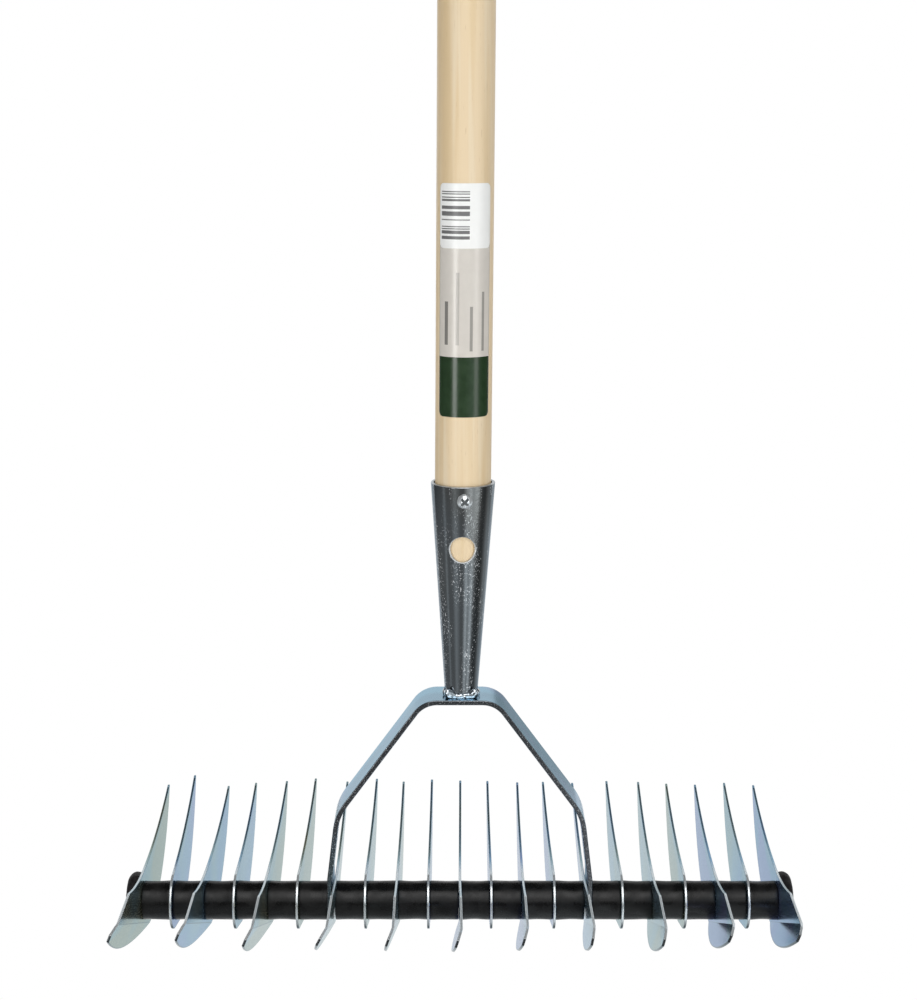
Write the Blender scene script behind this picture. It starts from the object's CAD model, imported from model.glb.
import math

import bmesh
import bpy
import numpy as np
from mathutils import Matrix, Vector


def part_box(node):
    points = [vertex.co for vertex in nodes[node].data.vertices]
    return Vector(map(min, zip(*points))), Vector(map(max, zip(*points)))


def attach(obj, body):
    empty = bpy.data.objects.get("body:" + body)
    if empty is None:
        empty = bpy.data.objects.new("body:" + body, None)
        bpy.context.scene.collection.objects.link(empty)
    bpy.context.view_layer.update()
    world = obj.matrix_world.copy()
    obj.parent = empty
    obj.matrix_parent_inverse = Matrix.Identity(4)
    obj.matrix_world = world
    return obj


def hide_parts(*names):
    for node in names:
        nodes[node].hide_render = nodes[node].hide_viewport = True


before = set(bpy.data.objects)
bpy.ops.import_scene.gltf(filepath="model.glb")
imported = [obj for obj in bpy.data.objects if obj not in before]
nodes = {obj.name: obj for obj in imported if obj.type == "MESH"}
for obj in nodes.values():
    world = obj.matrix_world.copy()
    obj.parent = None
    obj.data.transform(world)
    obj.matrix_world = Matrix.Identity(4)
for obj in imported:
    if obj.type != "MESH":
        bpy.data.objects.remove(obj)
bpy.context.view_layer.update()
scene = bpy.context.scene
scene.view_settings.view_transform = "Standard"
mm = 0.001
print("frame loaded:", len(nodes), "nodes")

# Places that several pieces share, read from the frame
rodLow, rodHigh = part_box("rod")
barZ = (rodLow.z + rodHigh.z) / 2
socketLow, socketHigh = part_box("socket")
yokeLow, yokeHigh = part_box("yoke")
handleLow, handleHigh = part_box("handle")
sickleLow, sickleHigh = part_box("sickle_tine_01")
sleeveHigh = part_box("sleeve_01")[1]
eyeRadius = -sickleLow.y
stripTop = socketLow.z
rodHole = 4.2 * mm
mergeGap = 0.002 * mm


# Linear colour of a tone given as it looks on a screen, 0 to 255
def tone(red, green, blue):
    share = np.array([red, green, blue]) / 255
    linear = np.where(share <= 0.04045, share / 12.92, ((share + 0.055) / 1.055) ** 2.4)
    return (*linear.tolist(), 1.0)


def inRadians(*degrees):
    return np.radians(degrees).tolist()


# Rows of values from several arrays, which are stretched to one shape first
def joinAxes(*axes):
    return np.stack(np.broadcast_arrays(*axes), -1)


# Corner numbers of every cell of a grid; a closed side joins its last line to its first
def gridCells(rows, columns, closeRows=False, closeColumns=False):
    row = np.arange(rows if closeRows else rows - 1)[:, None]
    column = np.arange(columns if closeColumns else columns - 1)[None, :]
    nextRow = (row + 1) % rows
    nextColumn = (column + 1) % columns
    corners = [row * columns + column, row * columns + nextColumn,
               nextRow * columns + nextColumn, nextRow * columns + column]
    return joinAxes(*corners).reshape(-1, 4)


def fullTurn(sides):
    return np.linspace(0, 2 * np.pi, sides, endpoint=False)


# Points of a circle of radius one: cos a, sin a
def circle(angle):
    return joinAxes(np.cos(angle), np.sin(angle))


# Points round the Z axis: x = r sin a, y = -r cos a
def roundZ(radius, angle, height):
    return joinAxes(radius * np.sin(angle), -radius * np.cos(angle), height)


# Points round the rod: y = -r cos a, z = r sin a above the rod's axis
def roundRod(along, radius, angle):
    return joinAxes(along, -radius * np.cos(angle), barZ + radius * np.sin(angle))


# A profile of (radius, height) rows turned about the Z axis
def turnAboutZ(profile, sides):
    return roundZ(profile[:, :1], fullTurn(sides), profile[:, 1:])


# An object at the origin from points and cells, with named values at its points; points that meet are merged,
# so poles and seams close
def addObject(name, points, cells, material, sharpAngle=35, solid=True, values=None):
    mesh = bpy.data.meshes.new(name)
    mesh.from_pydata(points.reshape(-1, 3).tolist(), [], cells.tolist())
    for label, value in (values or {}).items():
        data = mesh.attributes.new(label, "FLOAT", "POINT").data
        data.foreach_set("value", np.broadcast_to(np.ravel(value), len(data)).astype(np.float32))
    work = bmesh.new()
    work.from_mesh(mesh)
    bmesh.ops.remove_doubles(work, verts=work.verts, dist=mergeGap)
    if solid:
        bmesh.ops.recalc_face_normals(work, faces=work.faces)
    work.to_mesh(mesh)
    work.free()
    mesh.polygons.foreach_set("use_smooth", np.ones(len(mesh.polygons), bool))
    mesh.set_sharp_from_angle(angle=math.radians(sharpAngle))
    mesh.materials.append(material)
    made = bpy.data.objects.new(name, mesh)
    scene.collection.objects.link(made)
    return made


# A piece of the rake: it rides on the one body and stands for its CAD node
def addPiece(name, points, cells, material, slotName, node, **finish):
    piece = addObject(name, points, cells, material, **finish)
    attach(piece, "root")
    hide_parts(node)
    return piece


# Sheet metal: the outer face gets its wall inwards, and the cut edges are rounded
def makeSheet(piece, wall, edgeRound):
    solidify = piece.modifiers.new("wall", "SOLIDIFY")
    solidify.thickness = wall
    solidify.offset = -1
    solidify.use_even_offset = True
    bevel = piece.modifiers.new("edgeRound", "BEVEL")
    bevel.width = edgeRound
    bevel.segments = 2
    bevel.limit_method = "ANGLE"
    bevel.angle_limit = math.radians(40)
    bevel.harden_normals = True


# The handle is bowed a little to the right, and the socket and all that sits on it go with it: from the foot
# of the socket to the hanging cap x grows by a (1 - h) + b sin(pi h), with h the share of the height between
bowShape = {"foot": 0.7 * mm, "middle": 4.2 * mm, "top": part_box("hanging_cap")[0].z}


def bow(points):
    share = np.clip((points[..., 2] - stripTop) / (bowShape["top"] - stripTop), 0, 1)
    sideways = bowShape["foot"] * (1 - share) + bowShape["middle"] * np.sin(np.pi * share)
    return points + joinAxes(sideways, 0, 0)


# Node helpers


def setInput(tree, socket, value):
    if isinstance(value, bpy.types.NodeSocket):
        tree.links.new(value, socket)
    else:
        socket.default_value = value


# Values and links for inputs by their names, with _ for a space
def feed(tree, sockets, **values):
    for name, value in values.items():
        setInput(tree, sockets[name.replace("_", " ")], value)


def addNode(tree, kind, settings=None, **inputs):
    node = tree.nodes.new(kind)
    for name, value in (settings or {}).items():
        setattr(node, name, value)
    feed(tree, node.inputs, **inputs)
    return node


def calc(tree, operation, first, second=0.0):
    node = addNode(tree, "ShaderNodeMath", {"operation": operation})
    setInput(tree, node.inputs[0], first)
    setInput(tree, node.inputs[1], second)
    return node.outputs[0]


def times(tree, first, *others):
    for other in others:
        first = calc(tree, "MULTIPLY", first, other)
    return first


# One where a value lies between two limits, zero outside them
def between(tree, value, low, high):
    return times(tree, calc(tree, "GREATER_THAN", value, low), calc(tree, "LESS_THAN", value, high))


def distanceOf(tree, first, second):
    return calc(tree, "SQRT", calc(tree, "ADD", times(tree, first, first), times(tree, second, second)))


def mixTones(tree, share, first, second):
    node = addNode(tree, "ShaderNodeMix", {"data_type": "RGBA"})
    for number, value in ((0, share), (6, first), (7, second)):
        setInput(tree, node.inputs[number], value)
    return node.outputs[2]


def spread(tree, value, fromLow, fromHigh, toLow=0.0, toHigh=1.0):
    node = addNode(tree, "ShaderNodeMapRange", {"interpolation_type": "SMOOTHSTEP"}, Value=value,
                   From_Min=fromLow, From_Max=fromHigh, To_Min=toLow, To_Max=toHigh)
    return node.outputs["Result"]


def noise(tree, vector, scale, detail, roughness):
    node = addNode(tree, "ShaderNodeTexNoise", Vector=vector, Scale=scale, Detail=detail, Roughness=roughness)
    return node.outputs["Fac"]


# A tone picked from (place, colour) pairs
def pickTone(tree, share, tones):
    node = addNode(tree, "ShaderNodeValToRGB", Fac=share)
    marks = node.color_ramp.elements
    while len(marks) < len(tones):
        marks.new(0.5)
    for mark, (place, colour) in zip(marks, tones):
        mark.position = place
        mark.color = colour
    return node.outputs["Color"]


def readAttribute(tree, name):
    return addNode(tree, "ShaderNodeAttribute", {"attribute_name": name}).outputs["Fac"]


def stretch(tree, vector, scale, shift=(0, 0, 0)):
    return addNode(tree, "ShaderNodeMapping", Vector=vector, Scale=scale, Location=shift).outputs["Vector"]


def splitAxes(tree, vector):
    return addNode(tree, "ShaderNodeSeparateXYZ", Vector=vector).outputs


def objectPlace(tree):
    return tree.nodes.new("ShaderNodeTexCoord").outputs["Object"]


def startGroup(name, inputs, outputs):
    tree = bpy.data.node_groups.new(name, "ShaderNodeTree")
    for label, kind, value in inputs:
        socket = tree.interface.new_socket(label, in_out="INPUT", socket_type=kind)
        if value is not None:
            socket.default_value = value
    for label, kind in outputs:
        tree.interface.new_socket(label, in_out="OUTPUT", socket_type=kind)
    return tree, tree.nodes.new("NodeGroupInput").outputs, tree.nodes.new("NodeGroupOutput").inputs


def placeGroup(tree, group, **inputs):
    return addNode(tree, "ShaderNodeGroup", {"node_tree": group}, **inputs).outputs


# A material with an empty Principled shader; constants go straight on its sockets
def startMaterial(name, **constants):
    material = bpy.data.materials.new(name)
    material.use_nodes = True
    tree = material.node_tree
    shader = tree.nodes["Principled BSDF"].inputs
    feed(tree, shader, **constants)
    return material, tree, shader, objectPlace(tree)


def addBump(tree, shader, height, strength, distance):
    node = addNode(tree, "ShaderNodeBump", Height=height, Strength=strength, Distance=distance)
    feed(tree, shader, Normal=node.outputs["Normal"])


grainLevels = (0.3, 0.7)


# Roughness between two values by the height of a fine grain, which may raise the surface too
def addGrain(tree, shader, height, rough, bump=None):
    feed(tree, shader, Roughness=spread(tree, height, *grainLevels, *rough))
    if bump:
        addBump(tree, shader, height, *bump)


# Shared effects

colourKind = "NodeSocketColor"
valueKind = "NodeSocketFloat"
vectorKind = "NodeSocketVector"
midGrey = (0.5, 0.5, 0.5, 1)

# Passivated zinc: two tones drift into each other, and a third comes in patches
tree, given, result = startGroup(
    "zincFilm",
    [("Vector", vectorKind, None), ("Tone A", colourKind, midGrey), ("Tone B", colourKind, midGrey),
     ("Tone C", colourKind, midGrey), ("Patches", valueKind, 0.5)],
    [("Color", colourKind)])
drift = noise(tree, given["Vector"], 1.0, 1.0, 0.4)
patch = noise(tree, stretch(tree, given["Vector"], (1.3, 1.1, 1.2), (7.3, 2.1, 4.7)), 1.0, 1.0, 0.4)
base = mixTones(tree, spread(tree, drift, 0.36, 0.64), given["Tone A"], given["Tone B"])
patchShare = times(tree, spread(tree, patch, 0.48, 0.68), given["Patches"])
feed(tree, result, Color=mixTones(tree, patchShare, base, given["Tone C"]))
zincFilm = tree

# Grains of zinc: small soft spots where a fine noise stands above a level
tree, given, result = startGroup(
    "fineSpeckle",
    [("Vector", vectorKind, None), ("Scale", valueKind, 1500.0), ("Level", valueKind, 0.6)],
    [("Mask", valueKind), ("Height", valueKind)])
grain = noise(tree, given["Vector"], given["Scale"], 2.0, 0.6)
upper = calc(tree, "ADD", given["Level"], 0.1)
feed(tree, result, Mask=spread(tree, grain, given["Level"], upper), Height=grain)
fineSpeckle = tree

# Moulded skin: broad mottling of the gloss and a fine pebble for the bump
tree, given, result = startGroup(
    "mouldedSkin",
    [("Vector", vectorKind, None), ("Mottle Scale", valueKind, 120.0), ("Pebble Scale", valueKind, 2500.0)],
    [("Mottle", valueKind), ("Height", valueKind)])
mottle = noise(tree, given["Vector"], given["Mottle Scale"], 3.0, 0.55)
pebble = noise(tree, given["Vector"], given["Pebble Scale"], 2.0, 0.6)
feed(tree, result, Mottle=spread(tree, mottle, 0.3, 0.7),
     Height=calc(tree, "ADD", times(tree, mottle, 1.5), pebble))
mouldedSkin = tree
print("node groups built:", zincFilm.name, fineSpeckle.name, mouldedSkin.name)

# Materials


# Pale wood: broad streaks and a fine grain, both drawn out along the handle, with short dark pores
def makeWood():
    look = {"pale": tone(229, 207, 171), "warm": tone(222, 197, 155), "cream": tone(232, 215, 186),
            "pore": tone(186, 154, 110), "streaks": (210, 210, 5), "grain": (1500, 1500, 24),
            "pores": (2600, 2600, 150), "streakLevels": (0.38, 0.66), "rough": (0.4, 0.56)}
    material, tree, shader, place = startMaterial("paleWood", Specular_IOR_Level=0.4, Coat_Weight=0.12,
                                                  Coat_Roughness=0.28)
    streak = noise(tree, stretch(tree, place, look["streaks"]), 1.0, 2.0, 0.5)
    cream = noise(tree, stretch(tree, place, look["streaks"], (3.7, 1.9, 5.3)), 1.4, 1.0, 0.5)
    grain = noise(tree, stretch(tree, place, look["grain"]), 1.0, 3.0, 0.6)
    pore = noise(tree, stretch(tree, place, look["pores"]), 1.0, 1.0, 0.5)
    colour = mixTones(tree, spread(tree, streak, *look["streakLevels"]), look["pale"], look["warm"])
    # Layers over it: the noise, the levels between which it comes in, its largest share and its tone
    for layer, low, high, most, name in ((cream, 0.5, 0.66, 0.7, "cream"), (grain, 0.45, 0.75, 0.22, "warm"),
                                         (pore, 0.66, 0.8, 0.4, "pore")):
        colour = mixTones(tree, times(tree, spread(tree, layer, low, high), most), colour, look[name])
    feed(tree, shader, Base_Color=colour, Roughness=spread(tree, grain, 0.2, 0.8, *look["rough"]))
    addBump(tree, shader, calc(tree, "SUBTRACT", grain, pore), 0.25, 0.06 * mm)
    return material


# Blue-passivated tines: each tine's own tint, moved by a slow drift along it, picks a tone from straw over
# grey-green and blue to violet; the edges from the rod to the front are bright and part matt, and the cut
# edges below and the blunt ends are dark
def makeTineZinc():
    look = {"tones": [(0.0, tone(182, 177, 150)), (0.25, tone(166, 180, 172)), (0.5, tone(152, 178, 190)),
                      (0.75, tone(136, 169, 199)), (1.0, tone(152, 157, 204))],
            "drift": (26, 26, 20), "driftShare": 1.1, "rimTone": tone(222, 226, 228),
            "cutTone": tone(42, 44, 46), "metallic": 0.84, "rimMetallic": 0.55}
    material, tree, shader, place = startMaterial("zincTine", Specular_Tint=tone(190, 212, 222))
    drift = noise(tree, stretch(tree, place, look["drift"], (0.4, 0.0, 0.0)), 1.0, 1.0, 0.4)
    sway = times(tree, calc(tree, "SUBTRACT", drift, 0.5), look["driftShare"])
    colour = pickTone(tree, calc(tree, "ADD", readAttribute(tree, "tint"), sway), look["tones"])
    rim = readAttribute(tree, "rim")
    colour = mixTones(tree, rim, colour, look["rimTone"])
    colour = mixTones(tree, readAttribute(tree, "cutEdge"), colour, look["cutTone"])
    feed(tree, shader, Base_Color=colour,
         Metallic=spread(tree, rim, 0.0, 1.0, look["metallic"], look["rimMetallic"]))
    speckle = placeGroup(tree, fineSpeckle, Vector=place, Scale=1900.0, Level=0.56)
    addGrain(tree, shader, speckle["Height"], (0.13, 0.21), (0.1, 0.02 * mm))
    return material


# Zinc that is pale and less metallic where a mask says that it is bare
def addZinc(tree, shader, colour, bare, bareTone):
    feed(tree, shader, Base_Color=mixTones(tree, bare, colour, bareTone),
         Metallic=calc(tree, "SUBTRACT", 1.0, bare))


# Zinc-plated strip: blue with grey and violet patches; zinc grains lie on the darker cut edges, which face
# front and back
def makeStripZinc():
    look = {"blue": tone(172, 198, 212), "grey": tone(166, 184, 196), "violet": tone(186, 182, 210),
            "edge": tone(92, 93, 96), "grain": tone(214, 217, 220), "drift": (16, 60, 18), "grains": 0.4,
            "edgeFacing": (0.6, 0.9)}
    material, tree, shader, place = startMaterial("zincStrip", Specular_Tint=tone(200, 216, 226))
    film = placeGroup(tree, zincFilm, Vector=stretch(tree, place, look["drift"]), Tone_A=look["blue"],
                      Tone_B=look["grey"], Tone_C=look["violet"], Patches=0.8)
    speckle = placeGroup(tree, fineSpeckle, Vector=place, Scale=1500.0, Level=0.57)
    normal = tree.nodes.new("ShaderNodeNewGeometry").outputs["Normal"]
    onEdge = spread(tree, calc(tree, "ABSOLUTE", splitAxes(tree, normal)["Y"]), *look["edgeFacing"])
    grains = times(tree, speckle["Mask"], onEdge, look["grains"])
    addZinc(tree, shader, mixTones(tree, onEdge, film["Color"], look["edge"]), grains, look["grain"])
    addGrain(tree, shader, speckle["Height"], (0.12, 0.2), (0.1, 0.03 * mm))
    return material


# Bright rolled socket: near mirror, with grains of zinc that lie in upright clusters, and bare cut edges at
# the rim and round the window
def makeSocketZinc():
    look = {"bright": tone(121, 122, 122), "grey": tone(114, 114, 113), "blue": tone(114, 120, 126),
            "grain": tone(226, 229, 231), "drift": (40, 40, 12), "clusters": (160, 160, 26), "grains": 0.75,
            "lipWidth": 0.5 * mm, "lip": 0.75, "rimBelow": (0.5 * mm, 0.15 * mm), "rim": 0.6}
    material, tree, shader, place = startMaterial("brightZinc", Specular_Tint=tone(214, 226, 236))
    film = placeGroup(tree, zincFilm, Vector=stretch(tree, place, look["drift"]), Tone_A=look["bright"],
                      Tone_B=look["grey"], Tone_C=look["blue"], Patches=0.5)
    fine = placeGroup(tree, fineSpeckle, Vector=place, Scale=1300.0, Level=0.58)
    grain = placeGroup(tree, fineSpeckle, Vector=stretch(tree, place, (1, 1, 0.6)), Scale=1500.0, Level=0.57)
    cluster = spread(tree, noise(tree, stretch(tree, place, look["clusters"]), 1.0, 2.0, 0.5), 0.42, 0.58)
    grains = times(tree, grain["Mask"], cluster, look["grains"])
    # The lip goes by the distance from the window's own axis, the rim by the height above it
    drop, radius = socketSheet["windowDrop"], socketSheet["windowRadius"]
    window = bow(np.array([0, 0, socketHigh.z - drop]))
    away = splitAxes(tree, stretch(tree, place, (1, 1, 1), tuple(-window)))
    gap = distanceOf(tree, away["X"], away["Z"])
    lip = spread(tree, gap, radius, radius + look["lipWidth"], look["lip"], 0.0)
    lip = times(tree, lip, calc(tree, "LESS_THAN", away["Y"], 0.0))
    rim = spread(tree, away["Z"], *[drop - below for below in look["rimBelow"]], 0.0, look["rim"])
    bare = calc(tree, "MAXIMUM", grains, calc(tree, "MAXIMUM", lip, rim))
    addZinc(tree, shader, film["Color"], bare, look["grain"])
    addGrain(tree, shader, fine["Height"], (0.07, 0.15), (0.4, 0.06 * mm))
    return material


# Screw: smooth bright zinc with a dull skin, grey in the cross
def makeScrewZinc():
    look = {"bright": tone(222, 226, 228), "recess": tone(122, 126, 128)}
    material, tree, shader, place = startMaterial("screwZinc", Metallic=0.6)
    speckle = placeGroup(tree, fineSpeckle, Vector=place, Scale=1500.0, Level=0.58)
    recess = readAttribute(tree, "recess")
    feed(tree, shader, Base_Color=mixTones(tree, recess, look["bright"], look["recess"]))
    addGrain(tree, shader, speckle["Height"], (0.14, 0.22))
    return material


# Weld: shiny lumps with a few burnt spots
def makeWeld():
    look = {"bright": tone(206, 214, 220), "burnt": tone(120, 126, 130)}
    material, tree, shader, place = startMaterial("weldMetal", Metallic=1.0)
    speckle = placeGroup(tree, fineSpeckle, Vector=place, Scale=420.0, Level=0.6)
    feed(tree, shader, Base_Color=mixTones(tree, speckle["Mask"], look["bright"], look["burnt"]))
    addGrain(tree, shader, speckle["Height"], (0.1, 0.2), (0.5, 0.3 * mm))
    return material


# Moulded plastic and label film: the mottling moves both the tone and the gloss
def makeMoulded(name, dark, light, rough, specular, mottleScale, pebbleScale, bump):
    material, tree, shader, place = startMaterial(name, Specular_IOR_Level=specular)
    skin = placeGroup(tree, mouldedSkin, Vector=place, Mottle_Scale=mottleScale, Pebble_Scale=pebbleScale)
    colour = mixTones(tree, skin["Mottle"], tone(*dark), tone(*light))
    feed(tree, shader, Base_Color=colour, Roughness=spread(tree, skin["Mottle"], 0.0, 1.0, *rough))
    addBump(tree, shader, skin["Height"], *bump)
    return material, tree, shader, colour


labelSkin = {"specular": 0.5, "mottleScale": 260.0, "pebbleScale": 1800.0, "bump": (0.05, 0.05 * mm)}


# Places across and along a label zone, from 0 to 1
def labelPlaces(tree):
    flat = splitAxes(tree, addNode(tree, "ShaderNodeUVMap", {"uv_map": "labelMap"}).outputs["UV"])
    return flat["X"], flat["Y"]


# Grey film with plain rules: each rule is a thin band across the label and a stretch along it
def makeLabelGrey():
    rules = [(0.17, 0.1, 0.46, 0.034, 0.75), (0.38, 0.1, 0.7, 0.03, 0.3),
             (0.62, 0.05, 0.42, 0.026, 0.55), (0.84, 0.05, 0.54, 0.026, 0.55)]
    ink = tone(72, 72, 70)
    material, tree, shader, colour = makeMoulded("labelGrey", (209, 204, 196), (212, 207, 199), (0.2, 0.25),
                                                 **labelSkin)
    across, along = labelPlaces(tree)
    for middle, low, high, half, strength in rules:
        band = between(tree, across, middle - half, middle + half)
        colour = mixTones(tree, times(tree, band, between(tree, along, low, high), strength), colour, ink)
    feed(tree, shader, Base_Color=colour)
    return material


# White sticker with a plain block of stripes: stripes are dark where a row's noise stands above a level
def makeLabelWhite():
    block = {"across": (0.05, 0.58), "along": (0.14, 0.93), "stripes": 58.0, "level": 0.45,
             "ink": tone(46, 46, 48), "strength": 0.85}
    material, tree, shader, colour = makeMoulded("labelWhite", (241, 242, 240), (243, 244, 242), (0.3, 0.4),
                                                 **labelSkin)
    across, along = labelPlaces(tree)
    row = calc(tree, "FLOOR", times(tree, along, block["stripes"]))
    chance = addNode(tree, "ShaderNodeTexWhiteNoise", {"noise_dimensions": "1D"}, W=row).outputs["Value"]
    inside = times(tree, between(tree, across, *block["across"]), between(tree, along, *block["along"]))
    stripe = times(tree, inside, calc(tree, "GREATER_THAN", chance, block["level"]), block["strength"])
    feed(tree, shader, Base_Color=mixTones(tree, stripe, colour, block["ink"]))
    return material


wood = makeWood()
tineZinc = makeTineZinc()
stripZinc = makeStripZinc()
screwZinc = makeScrewZinc()
weldMetal = makeWeld()
sleeveBlack = makeMoulded("sleeveBlack", (19, 18, 18), (29, 28, 28), (0.22, 0.4), 0.24, 130.0, 1500.0,
                          (0.22, 0.08 * mm))[0]
capBlack = makeMoulded("capBlack", (20, 18, 19), (34, 30, 31), (0.5, 0.68), 0.24, 240.0, 900.0,
                       (0.5, 0.08 * mm))[0]
labelGreen = makeMoulded("labelGreen", (33, 54, 30), (37, 59, 34), (0.2, 0.24), **labelSkin)[0]
labelGrey = makeLabelGrey()
labelWhite = makeLabelWhite()
print("materials built:", len(bpy.data.materials))

# Handle

handleTurn = {"footRadius": 7.35 * mm, "taperBelowRim": 4.2 * mm, "chamfer": 1.5 * mm, "sides": 96,
              "rows": 40}


# Round rod: a taper in the socket, a straight length, a chamfer and flat ends
def makeHandle():
    cut = handleTurn
    radius = handleHigh.x
    heights = np.linspace(socketHigh.z - cut["taperBelowRim"], handleHigh.z - cut["chamfer"], cut["rows"])
    foot = [[0, handleLow.z], [cut["footRadius"], handleLow.z]]
    top = [[radius - cut["chamfer"], handleHigh.z], [0, handleHigh.z]]
    profile = np.concatenate([foot, joinAxes(radius, heights), top])
    cells = gridCells(len(profile), cut["sides"], closeColumns=True)
    addPiece("handleRod", bow(turnAboutZ(profile, cut["sides"])), cells, wood, "handle_wood", "handle")


makeHandle()
print("handle turned")

# Label

labelCut = {"thickness": 0.22 * mm, "cornerRadius": 2.6 * mm, "columns": 40, "cornerRows": 8, "bodyRows": 24,
            "gap": 0.05 * mm, "solidSkin": 0.35 * mm, "stickerLift": 0.08 * mm, "filmTuck": 6 * mm}


# A zone lies on the wood; in each row near a rounded corner the half width is shortened by
# r - sqrt(r^2 - d^2), and the flat width is wrapped to an angle
def makeLabelZone(name, node, roundLow, roundHigh, lift, tuck, material, slotName):
    cut = labelCut
    low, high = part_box(node)
    lowZ = low.z
    highZ = high.z + tuck
    radius = handleHigh.x + cut["gap"] + lift
    halfFlat = handleHigh.x * math.asin(min(high.x / (handleHigh.x + cut["solidSkin"]), 1))
    corner = cut["cornerRadius"]
    bend = corner * (1 - np.cos(np.linspace(0, np.pi / 2, cut["cornerRows"])))
    body = np.linspace(lowZ + corner, highZ - corner, cut["bodyRows"])[1:-1]
    heights = np.concatenate([lowZ + bend, body, highZ - bend[::-1]])
    fromLow = np.clip(corner - (heights - lowZ), 0, corner) * roundLow
    fromHigh = np.clip(corner - (highZ - heights), 0, corner) * roundHigh
    shorter = corner - np.sqrt(np.maximum(corner ** 2 - np.maximum(fromLow, fromHigh) ** 2, 0))
    flat = (halfFlat - shorter)[:, None] * np.linspace(-1, 1, cut["columns"])[None, :]
    points = roundZ(radius + cut["thickness"], flat / radius, heights[:, None])
    cells = gridCells(len(heights), cut["columns"])
    piece = addPiece(name, bow(points), cells, material, slotName, node, solid=False)
    flatMap = joinAxes(flat / (2 * halfFlat) + 0.5, (heights[:, None] - lowZ) / (highZ - lowZ)).reshape(-1, 2)
    corners = np.zeros(len(piece.data.loops), np.int32)
    piece.data.loops.foreach_get("vertex_index", corners)
    mapData = piece.data.uv_layers.new(name="labelMap").data
    mapData.foreach_set("uv", flatMap[corners].astype(np.float32).ravel())
    wall = piece.modifiers.new("wall", "SOLIDIFY")
    wall.thickness = cut["thickness"]
    wall.offset = -1


# Each zone's rounded corners below and above, lift off the wood and length tucked under the next zone
makeLabelZone("labelPanel", "label_panel", 1, 0, 0, 0, labelGreen, "label_green")
makeLabelZone("labelFilm", "label_film", 0, 0, 0, labelCut["filmTuck"], labelGrey, "label_grey")
makeLabelZone("labelSticker", "label_sticker", 1, 1, labelCut["stickerLift"], 0, labelWhite, "label_white")
print("label laid on the handle")

# Socket

socketSheet = {"wall": 1.6 * mm, "footRadius": 8.25 * mm, "windowRadius": 6.5 * mm, "windowDrop": 32 * mm,
               "windowBlock": 9.5 * mm, "screwRadius": 2.2 * mm, "screwDrop": 7 * mm, "screwBlock": 5 * mm,
               "seam": 1.2 * mm, "edgeRound": 0.5 * mm, "frontAngle": 0.7, "footCells": 26, "frontCells": 20,
               "neckCells": 6, "screwCells": 10, "rimCells": 2, "sideCells": 26, "patchRings": 5}
socketLength = socketHigh.z - socketLow.z
socketSlope = (socketHigh.x - socketSheet["footRadius"]) / socketLength


# Radius of the cone at a height above the yoke
def socketRadius(height):
    return socketSheet["footRadius"] + socketSlope * height


# Round hole in a sheet of (angle, height) points: the cells of a square block are marked, and rings run from
# the block's border to the circle, each point along its own ray from the middle of the hole
def cutHole(sheet, cellCount, columns, rowLow, columnLow, count, middle, radius):
    rowAt, columnAt = np.divmod(np.arange(cellCount), columns - 1)
    rowHigh, columnHigh = rowLow + count, columnLow + count
    inBlock = (rowAt >= rowLow) & (rowAt < rowHigh) & (columnAt >= columnLow) & (columnAt < columnHigh)
    across = np.arange(columnLow, columnHigh)
    upward = np.arange(rowLow, rowHigh)
    border = np.concatenate([rowLow * columns + across, upward * columns + columnHigh,
                             rowHigh * columns + across[::-1] + 1, (upward[::-1] + 1) * columns + columnLow])
    edge = sheet[border]
    ray = np.arctan2(edge[:, 1] - middle, socketRadius(edge[:, 1]) * np.sin(edge[:, 0]))
    ringHeight = middle + radius * np.sin(ray)
    ring = joinAxes(np.arcsin(radius * np.cos(ray) / socketRadius(ringHeight)), ringHeight)
    share = np.linspace(0, 1, socketSheet["patchRings"] + 1)[1:, None, None]
    rings = edge + (ring - edge) * share
    numbers = np.concatenate([border, len(sheet) + np.arange(share.size * len(border))])
    patch = numbers[gridCells(share.size + 1, len(border), closeColumns=True)]
    return np.concatenate([sheet, rings.reshape(-1, 2)]), inBlock, patch


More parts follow.
